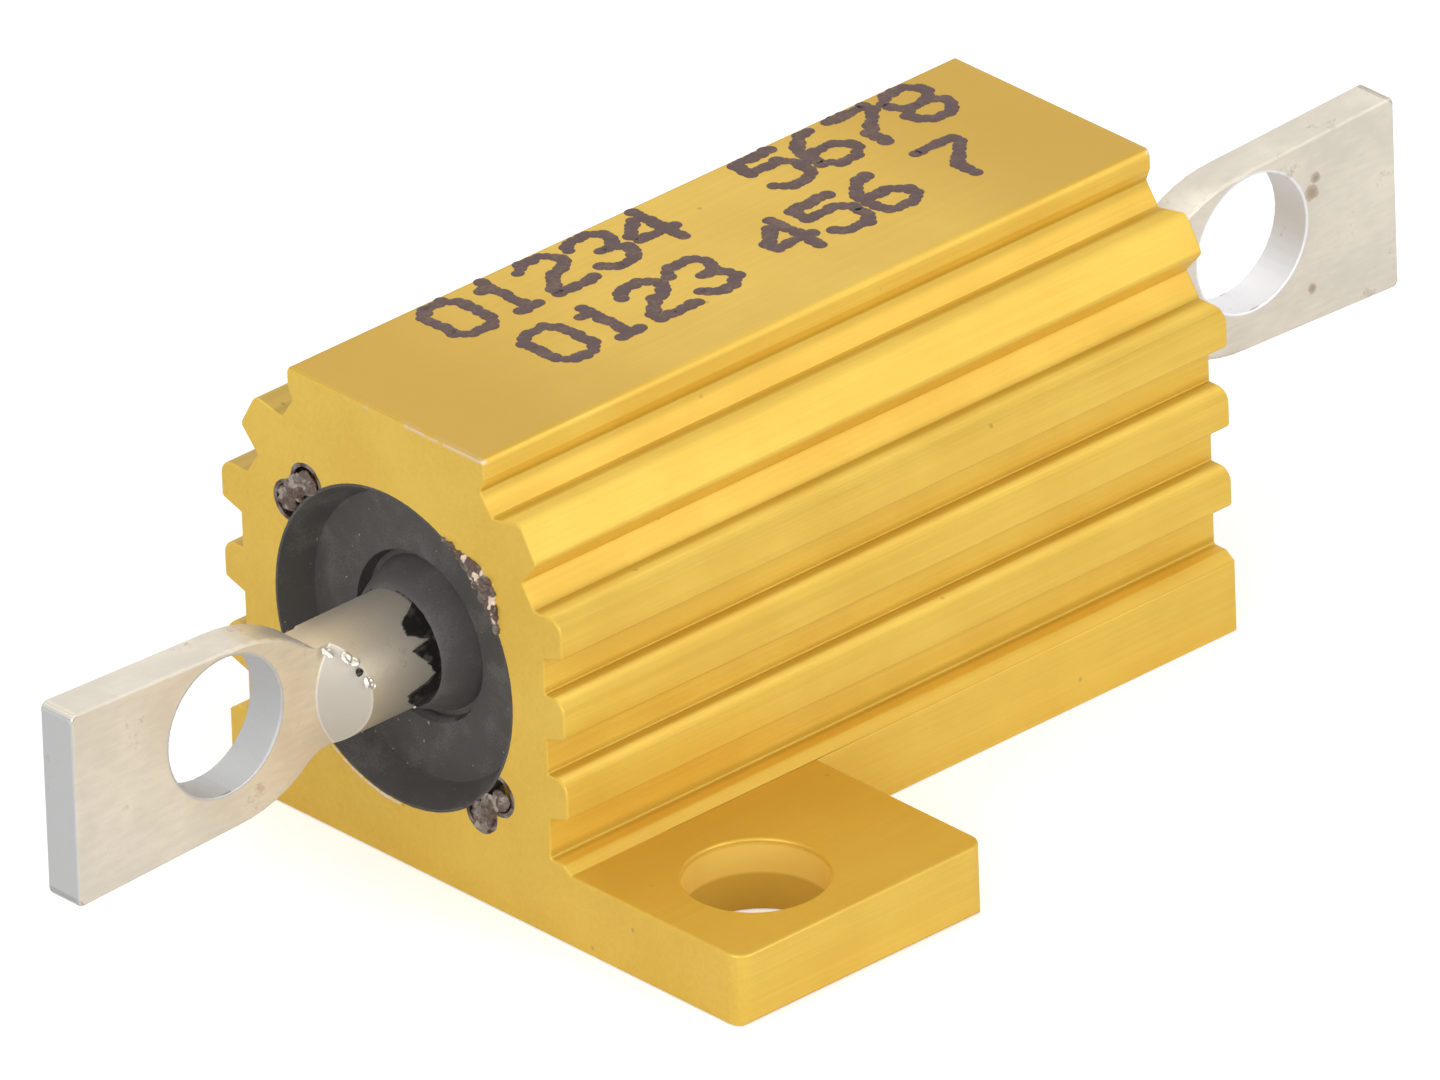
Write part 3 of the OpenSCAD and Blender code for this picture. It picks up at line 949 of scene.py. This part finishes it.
class RESISTOR_OT_rim(bpy.types.Operator):
    """Fills the punch marks with torn metal and adds the torn places on the bore's rims"""
    bl_idname = "resistor.rim"
    bl_label = "Torn rim"

    # Angle in degrees and half width in millimetres of each lump along a torn place.
    TEARS = {
        "front": ((119, 0.05), (122, 0.07), (125, 0.1), (129, 0.15), (133, 0.2), (137, 0.22),
                  (141, 0.21), (145, 0.17), (149, 0.11), (153, 0.06)),
        "rear": ((24, 0.08), (29, 0.12), (34, 0.13), (39, 0.1)),
    }

    def execute(self, context):
        settings = context.scene.resistor_housing
        bruised = torn_finish("bruised_metal", settings, settings.torn)
        torn = torn_finish("torn_metal", settings, settings.bare)
        chance = random.Random(3)
        reach = BORE_R + settings.punch_offset
        for end in ENDS:
            parts = []
            for angle in stake_angles(settings, (-0.5, 0.0, 0.5)):
                size = settings.punch_d * chance.uniform(0.34, 0.42)
                parts.append(lump("torn", end, reach + chance.uniform(0, 0.1) * MM, angle, size, 0.3))
            tears = [lump("tear", end, BORE_R - 0.06 * MM + half_width * MM,
                          math.radians(degrees), half_width * MM, 0.4)
                     for degrees, half_width in self.TEARS[end]]
            for piece, finish in ((join(parts, "staked_rim_" + end), bruised),
                                  (join(tears, "torn_rim_" + end), torn)):
                roughen(piece, 0.17, 0.15)
                finish_piece(piece, finish, 60)
        return {"FINISHED"}


class RESISTOR_OT_scrape(bpy.types.Operator):
    """Adds the bright scraped line on the lower rim of each bore"""
    bl_idname = "resistor.scrape"
    bl_label = "Scraped rim"

    def execute(self, context):
        settings = context.scene.resistor_housing
        finish = scraped_finish(settings)
        for end, sign in ENDS.items():
            bpy.ops.mesh.primitive_torus_add(
                major_segments=360, minor_segments=10, major_radius=BORE_R + settings.scrape_r * 0.6,
                minor_radius=settings.scrape_r, rotation=(0, math.pi / 2, 0),
                location=(sign * END_X, 0, AXIS_Z))
            piece = named("scraped_rim_" + end)
            settle(piece)

            def outside(vertex, sign=sign):
                turned = math.atan2(vertex.co.z - AXIS_Z, -sign * vertex.co.y)
                return abs(turned - settings.scrape_at) > settings.scrape_spread / 2
            select_where(piece, "vertices", outside)
            bpy.ops.mesh.delete(type="VERT")
            bpy.ops.mesh.select_all(action="SELECT")
            bpy.ops.mesh.fill_holes(sides=0)
            leave()
            roughen(piece, 0.035, 0.12)
            finish_piece(piece, finish, 60)
        return {"FINISHED"}


def ring(name, sign, start, radius, corners):
    """An open ring round the lead's axis, for drawing out along the lead."""
    bpy.ops.mesh.primitive_circle_add(
        vertices=corners, radius=radius, fill_type="NOTHING",
        location=(sign * start, 0, AXIS_Z), rotation=(0, math.pi / 2, 0))
    piece = named(name)
    settle(piece)
    edit(piece)
    bpy.ops.mesh.select_all(action="SELECT")
    return piece


def face_outward(piece):
    edit(piece)
    bpy.ops.mesh.select_all(action="SELECT")
    bpy.ops.mesh.normals_make_consistent(inside=False)
    leave()


class RESISTOR_OT_neck(bpy.types.Operator):
    """Adds the neck of moulding compound drawn up round each lead"""
    bl_idname = "resistor.neck"
    bl_label = "Moulded neck"

    # Depth under the end face and radius, in millimetres, from the foot of the neck out.
    PROFILE = ((0.86, 1.40), (0.7, 1.345), (0.5, 1.27), (0.32, 1.19), (0.18, 1.12),
               (0.11, 1.07), (0.085, 1.02), (0.085, 0.98))

    def execute(self, context):
        settings = context.scene.resistor_moulding
        finish = compound_finish(settings, "lighter_neck_compound", settings.lighter_neck)
        for end, sign in ENDS.items():
            depth, radius = self.PROFILE[0]
            piece = ring("moulded_neck_" + end, sign, END_X - depth * MM, radius * MM, 160)
            for deeper, wider in self.PROFILE[1:]:
                bpy.ops.mesh.extrude_region_move(
                    TRANSFORM_OT_translate={"value": (sign * (depth - deeper) * MM, 0, 0)})
                bpy.ops.transform.resize(value=(1, wider / radius, wider / radius))
                depth, radius = deeper, wider
            leave()
            face_outward(piece)
            roughen(piece, 0.03, 0.35)
            finish_piece(piece, finish, 50)
        return {"FINISHED"}


class RESISTOR_OT_residue(bpy.types.Operator):
    """Adds the jagged dark flux where each lead enters the moulding"""
    bl_idname = "resistor.residue"
    bl_label = "Flux residue"

    RINGS = 8
    STEP = 0.05 * MM
    LONGEST = 0.7 * MM
    # Angle in degrees and reach along the lead in millimetres at each turn of the edge.
    EDGE = {
        "front": ((112, 0), (120, 0.2), (125, 0.44), (139, 0.46), (150, 0.1), (154, 0.52),
                  (168, 0.3), (184, 0.1), (190, 0.3), (196, 0.68), (205, 0.62), (216, 0.45),
                  (234, 0.12), (250, 0)),
        "rear": ((80, 0), (96, 0.35), (110, 0.1), (140, 0.42), (156, 0.05), (185, 0.3),
                 (215, 0.5), (230, 0)),
    }

    def reach(self, end, vertex):
        """How far the edge is drawn out at a vertex, as a share of the longest tooth."""
        turned = math.degrees(math.atan2(vertex.co.z - AXIS_Z, vertex.co.y)) % 360
        for (low, near), (high, far) in zip(self.EDGE[end], self.EDGE[end][1:]):
            if low <= turned <= high:
                drawn = near + (far - near) * (turned - low) / (high - low)
                return drawn * MM / self.LONGEST
        return 0.0

    def execute(self, context):
        settings = context.scene.resistor_terminal
        finish = flux_finish(settings)
        drawn_out = self.RINGS * self.STEP
        for end, sign in ENDS.items():
            start = END_X - 0.1 * MM - drawn_out
            piece = ring("flux_residue_" + end, sign, start, LEAD_R + 0.003 * MM, 300)
            for _ in range(self.RINGS):
                bpy.ops.mesh.extrude_region_move(
                    TRANSFORM_OT_translate={"value": (sign * self.STEP, 0, 0)})
            leave()
            # The teeth grow from the outer edge.
            creep = piece.vertex_groups.new(name="creep")
            for vertex in piece.data.vertices:
                out = max(0.0, min(1.0, (abs(vertex.co.x) - start) / drawn_out))
                creep.add([vertex.index], out ** 2 * self.reach(end, vertex), "REPLACE")
            add_modifier(piece, "DISPLACE", vertex_group="creep", direction="X",
                         mid_level=0.0, strength=sign * self.LONGEST)
            roughen(piece, 0.14, 0.1, "X")
            face_outward(piece)
            add_modifier(piece, "SOLIDIFY", thickness=settings.residue_t, offset=1.0)
            roughen(piece, 0.025, 0.16)
            finish_piece(piece, finish, 60)
        return {"FINISHED"}


class RESISTOR_OT_stage(bpy.types.Operator):
    """Sets up the floor, the lamps, the surroundings and the camera"""
    bl_idname = "resistor.stage"
    bl_label = "Stage"

    # Place and width in metres and power in watts of each lamp.
    LAMPS = {
        "key": ((0.06, -0.3, 0.14), 0.2, 0.42),
        "fill": ((-0.3, -0.1, 0.12), 0.2, 0.36),
        "top": ((-0.02, 0.1, 0.3), 0.24, 0.12),
    }

    def floor(self, settings):
        bpy.ops.mesh.primitive_plane_add(size=3.0, location=(0, 0, -0.02 * MM))
        floor = named("paper_floor")
        settle(floor)
        bpy.ops.object.mode_set(mode="EDIT")
        bpy.ops.mesh.select_all(action="SELECT")
        bpy.ops.mesh.subdivide(number_cuts=4)
        leave()
        # The camera sees the paper a little brighter than it is, with its shadow kept.
        f = Finish("paper", 0.9)
        f.set(Base_Color=settings.paper, Specular_IOR_Level=0.0)
        seen = f.node("ShaderNodeLightPath", {}, {}, "Is Camera Ray")
        glow = f.node("ShaderNodeEmission", {},
                      {"Color": (1, 1, 1, 1), "Strength": seen * settings.glow})
        total = f.node("ShaderNodeAddShader", {}, {0: Field(f, f.shader.outputs[0]), 1: glow})
        f.put(f.tree.nodes["Material Output"].inputs["Surface"], total)
        floor.data.materials.append(f.material)

    def lamp(self, name, place, size, power):
        bpy.ops.object.light_add(type="AREA", location=place)
        lamp = bpy.context.active_object
        lamp.name = name
        lamp.data.shape = "SQUARE"
        lamp.data.size = size
        lamp.data.energy = power
        aim = Vector((0, 0, AXIS_Z)) - Vector(place)
        lamp.rotation_euler = aim.to_track_quat("-Z", "Y").to_euler()
        lamp.visible_camera = False

    def world(self, context, settings):
        world = bpy.data.worlds.new("studio")
        context.scene.world = world
        world.use_nodes = True
        studio = Nodes(world.node_tree)
        camera, glossy, passing = studio.node(
            "ShaderNodeLightPath", {}, {}, ("Is Camera Ray", "Is Glossy Ray", "Is Transmission Ray"))
        level = studio.node("ShaderNodeMapRange", {},
                            {"Value": camera | glossy | passing, "To Min": settings.ambient})
        background = studio.tree.nodes["Background"]
        studio.put(background.inputs["Color"], (1, 1, 1, 1))
        studio.put(background.inputs["Strength"], level)

    def camera(self, context, settings):
        azimuth, elevation, roll = settings.azimuth, settings.elevation, settings.roll
        back = Vector((math.sin(azimuth) * math.cos(elevation),
                       -math.cos(azimuth) * math.cos(elevation), math.sin(elevation)))
        level = Vector((math.cos(azimuth), math.sin(azimuth), 0))
        right = level * math.cos(roll) + back.cross(level) * math.sin(roll)
        up = back.cross(right)
        bpy.ops.object.camera_add()
        camera = bpy.context.active_object
        camera.name = "camera"
        camera.data.sensor_width = 36
        camera.data.lens = settings.lens
        camera.data.clip_start, camera.data.clip_end = 0.05, 10
        turned = Matrix((right, up, back)).transposed().to_4x4()
        place = back * settings.distance + right * settings.aim_x + up * settings.aim_y
        camera.matrix_world = Matrix.Translation(place) @ turned
        context.scene.camera = camera

    def execute(self, context):
        settings = context.scene.resistor_stage
        self.floor(settings)
        self.world(context, settings)
        for name, (place, size, power) in self.LAMPS.items():
            self.lamp(name, place, size, power)
        self.camera(context, settings)
        context.scene.view_settings.view_transform = "Standard"
        return {"FINISHED"}


class RESISTOR_PT_panel(bpy.types.Panel):
    """Lists the resistor's pieces and their settings"""
    bl_idname = "RESISTOR_PT_panel"
    bl_label = "Housed resistor"
    bl_space_type = "VIEW_3D"
    bl_region_type = "UI"
    bl_category = "Resistor"

    def draw(self, context):
        for kind in OPERATORS:
            self.layout.operator(kind.bl_idname)
        for name, group in GROUPS.items():
            box = self.layout.box()
            for key in group.__annotations__:
                box.prop(getattr(context.scene, name), key)


GROUPS = {
    "resistor_housing": HousingSettings,
    "resistor_moulding": MouldingSettings,
    "resistor_marking": MarkingSettings,
    "resistor_terminal": TerminalSettings,
    "resistor_stage": StageSettings,
}
OPERATORS = (
    RESISTOR_OT_housing, RESISTOR_OT_moulding, RESISTOR_OT_terminals, RESISTOR_OT_burrs,
    RESISTOR_OT_element, RESISTOR_OT_marking, RESISTOR_OT_neck, RESISTOR_OT_residue,
    RESISTOR_OT_rim, RESISTOR_OT_scrape, RESISTOR_OT_stage,
)


def register():
    for kind in (*GROUPS.values(), *OPERATORS, RESISTOR_PT_panel):
        bpy.utils.register_class(kind)
    for name, group in GROUPS.items():
        setattr(bpy.types.Scene, name, bpy.props.PointerProperty(type=group))


def unregister():
    for name in GROUPS:
        delattr(bpy.types.Scene, name)
    for kind in (RESISTOR_PT_panel, *reversed(OPERATORS), *reversed(GROUPS.values())):
        bpy.utils.unregister_class(kind)


def main():
    register()
    bpy.ops.resistor.housing()
    bpy.ops.resistor.moulding()
    bpy.ops.resistor.terminals()
    bpy.ops.resistor.burrs()
    bpy.ops.resistor.element()
    bpy.ops.resistor.marking()
    bpy.ops.resistor.neck()
    bpy.ops.resistor.residue()
    bpy.ops.resistor.rim()
    bpy.ops.resistor.scrape()
    bpy.ops.resistor.stage()


if __name__ == "__main__":
    main()
